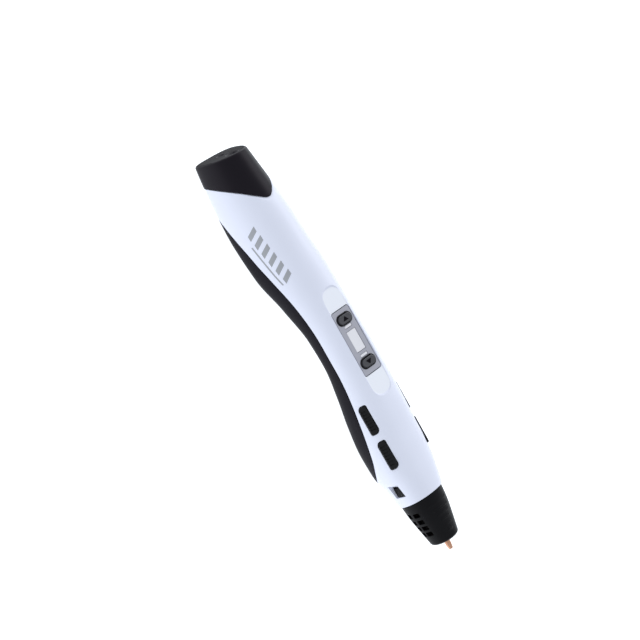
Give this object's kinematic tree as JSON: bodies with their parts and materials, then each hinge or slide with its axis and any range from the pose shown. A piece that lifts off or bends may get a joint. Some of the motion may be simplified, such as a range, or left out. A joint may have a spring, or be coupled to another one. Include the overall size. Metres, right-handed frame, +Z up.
{
  "type": "three d pen",
  "caption": "Hand-held 3D drawing pen with a waisted two-tone body, oblique end cap, display panel with keys, side keys and a vented cone around a copper nozzle.",
  "frame": {"origin": "centre of the footprint, on the plane that the pen rests on when it lies on its back with the display up", "axes": "+X towards the nozzle tip, +Z up out of the display side, Y across; Y = 0 is the plane of symmetry; the nozzle axis dips 1.4 degrees towards +X"},
  "size_m": [0.1798, 0.0256, 0.0279],
  "materials": {
    "white_shell": "satin white ABS",
    "black_shell": "satin black ABS with a fine texture",
    "black_keys": "satin black",
    "grey_panel": "silver grey, satin",
    "grey_keys": "dark grey, satin",
    "clear_window": "clear lens over a pale backlight",
    "lcd": "pale LCD module",
    "copper": "copper-coloured, polished by use",
    "steel": "plain",
    "brass": "machined",
    "board": "solder-masked glass fibre",
    "chip": "moulded epoxy",
    "ptfe": "waxy white",
    "ceramic": "fired white ceramic",
    "nylon": "moulded nylon",
    "wire_red": "insulation",
    "wire_black": "insulation"
  },
  "bodies": {
    "housing": {"front_shell": "white_shell", "rear_cover": "black_shell", "end_cap": "black_shell", "nozzle_cover": "black_shell", "display_panel": "grey_panel", "lcd_window": "clear_window", "lamp_window_rear": "clear_window", "lamp_window_front": "clear_window", "lcd_module": "lcd", "nozzle": "copper", "motor": "steel", "idler_pin": "steel", "idler_spring": "steel", "heat_break": "steel", "cover_screw_rear": "steel", "cover_screw_front": "steel", "gearbox": "brass", "display_board": "board", "left_switch_board": "board", "right_switch_board": "board", "control_board": "board", "processor_chip": "chip", "motor_driver_chip": "chip", "capacitor": "chip", "left_switch_rear": "chip", "left_switch_front": "chip", "right_switch_rear": "chip", "right_switch_front": "chip", "temp_up_switch": "chip", "temp_down_switch": "chip", "motor_end_cap": "chip", "power_jack": "chip", "thermistor": "chip", "guide_tube": "ptfe", "inlet_tube": "ptfe", "insulator": "ceramic", "ceramic_heater": "ceramic", "motor_mount": "nylon", "feed_frame": "nylon", "hot_end_holder": "nylon", "power_wire_red": "wire_red", "motor_wire_red": "wire_red", "heater_wire_red": "wire_red", "power_wire_black": "wire_black", "motor_wire_black": "wire_black", "heater_wire_black": "wire_black"},
    "temp_up_key": {"temp_up_button": "grey_keys"},
    "temp_down_key": {"temp_down_button": "grey_keys"},
    "feed_key": {"feed_button": "black_keys"},
    "retract_key": {"retract_button": "black_keys"},
    "speed_up_key": {"speed_up_button": "black_keys"},
    "speed_down_key": {"speed_down_button": "black_keys"},
    "feed_screw_shaft": {"feed_screw": "brass"},
    "idler": {"idler_arm": "nylon", "idler_axle": "steel"},
    "roller": {"idler_roller": "steel"}
  },
  "joints": [
    {"name": "temp_up_press", "type": "slide", "parent": "housing", "child": "temp_up_key", "axis": [-0.024, 0, -0.9997], "range_m": [0, 0.0005], "stiffness_N_per_m": 400, "springref_m": -0.0005},
    {"name": "temp_down_press", "type": "slide", "parent": "housing", "child": "temp_down_key", "axis": [-0.024, 0, -0.9997], "range_m": [0, 0.0005], "stiffness_N_per_m": 400, "springref_m": -0.0005},
    {"name": "feed_press", "type": "slide", "parent": "housing", "child": "feed_key", "axis": [-0.0141, 0.809, -0.5876], "range_m": [0, 0.0005], "stiffness_N_per_m": 400, "springref_m": -0.0005},
    {"name": "retract_press", "type": "slide", "parent": "housing", "child": "retract_key", "axis": [-0.0141, 0.809, -0.5876], "range_m": [0, 0.0005], "stiffness_N_per_m": 400, "springref_m": -0.0005},
    {"name": "speed_up_press", "type": "slide", "parent": "housing", "child": "speed_up_key", "axis": [-0.0141, -0.809, -0.5876], "range_m": [0, 0.0005], "stiffness_N_per_m": 400, "springref_m": -0.0005},
    {"name": "speed_down_press", "type": "slide", "parent": "housing", "child": "speed_down_key", "axis": [-0.0141, -0.809, -0.5876], "range_m": [0, 0.0005], "stiffness_N_per_m": 400, "springref_m": -0.0005},
    {"name": "feed_screw_spin", "type": "hinge", "parent": "housing", "child": "feed_screw_shaft", "pos_m": [-0.04505, 0, 0.01413], "axis": [0.9997, 0, -0.024], "continuous": true},
    {"name": "idler_swing", "type": "hinge", "parent": "housing", "child": "idler", "pos_m": [-0.04524, 0, 0.00603], "axis": [0, 1, 0], "range_deg": [0, 4], "stiffness_Nm_per_rad": 0.02, "springref_deg": -8.59},
    {"name": "roller_spin", "type": "hinge", "parent": "idler", "child": "roller", "pos_m": [-0.04123, 0, 0.00663], "axis": [0, 1, 0], "continuous": true}
  ]
}
